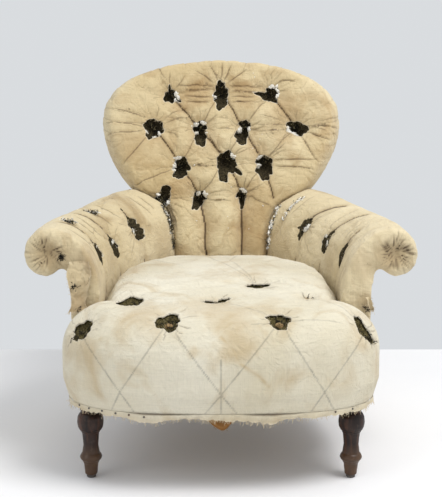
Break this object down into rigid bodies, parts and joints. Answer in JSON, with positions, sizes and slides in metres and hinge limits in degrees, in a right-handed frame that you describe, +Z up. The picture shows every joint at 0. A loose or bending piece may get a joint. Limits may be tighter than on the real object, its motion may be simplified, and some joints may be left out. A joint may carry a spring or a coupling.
{
  "type": "upholstered armchair",
  "caption": "Low button-back armchair with an oval back, scroll arms and turned front legs, stripped to its torn calico under-cover",
  "frame": {"origin": "on the floor, under the centre of the chair's bounding box", "axes": "+Z up; the sitter faces -Y; +X is the right-hand side seen from the front"},
  "size_m": [0.822, 0.8582, 0.8436],
  "materials": {
    "walnut": "dark stained and waxed, worn at the feet",
    "beech": "bare sawn frame timber",
    "steel": "darkened wire and glides",
    "webbing": "woven jute webbing",
    "hessian": "coarse open hessian",
    "twine": "laid cord that ties the springs",
    "stuffing": "dark curled hair and fibre under white wadding",
    "back_calico": "unbleached calico, aged tan, torn and frayed",
    "seat_calico": "paler calico with stains and pencil lines"
  },
  "bodies": {
    "frame": {"back_wing_right": "beech", "back_wing_left": "beech", "crest_rail": "beech", "back_seat_rail": "beech", "back_waist_rail": "beech", "back_tack_rail": "beech", "back_webbing": "webbing", "back_hessian": "hessian", "back_pad": "stuffing", "back_cover": "back_calico", "outside_back_panel": "back_calico", "front_seat_rail": "beech", "side_seat_rail_right": "beech", "side_seat_rail_left": "beech", "front_leg_block_right": "beech", "front_leg_block_left": "beech", "front_leg_right": "walnut", "front_leg_left": "walnut", "front_foot_glide_right": "steel", "front_foot_glide_left": "steel", "rear_post_right": "walnut", "rear_post_left": "walnut", "rear_foot_glide_right": "steel", "rear_foot_glide_left": "steel", "seat_webbing": "webbing", "seat_spring_1": "steel", "seat_spring_2": "steel", "seat_spring_3": "steel", "seat_spring_4": "steel", "seat_spring_5": "steel", "seat_spring_6": "steel", "seat_spring_7": "steel", "seat_spring_8": "steel", "seat_spring_9": "steel", "seat_border": "seat_calico", "bottom_cloth_remnant": "hessian", "arm_facing_board_right": "beech", "arm_facing_board_left": "beech", "arm_top_rail_right": "beech", "arm_top_rail_left": "beech", "arm_tack_rail_right": "beech", "arm_tack_rail_left": "beech", "arm_hessian_right": "hessian", "arm_hessian_left": "hessian", "arm_pad_right": "stuffing", "arm_pad_left": "stuffing", "arm_cover_right": "back_calico", "arm_cover_left": "back_calico", "arm_front_pad_right": "back_calico", "arm_front_pad_left": "back_calico", "outside_arm_panel_right": "back_calico", "outside_arm_panel_left": "back_calico"},
    "seat": {"seat_pad": "stuffing", "seat_cover": "seat_calico", "seat_hessian": "hessian", "spring_lashing": "twine"}
  },
  "joints": [
    {"name": "seat_give", "type": "slide", "parent": "frame", "child": "seat", "axis": [0, 0, -1], "range_m": [0, 0.03], "stiffness_N_per_m": 15000, "springref_m": -0.012, "deforming": ["seat_spring_1", "seat_spring_2", "seat_spring_3", "seat_spring_4", "seat_spring_5", "seat_spring_6", "seat_spring_7", "seat_spring_8", "seat_spring_9"]}
  ]
}
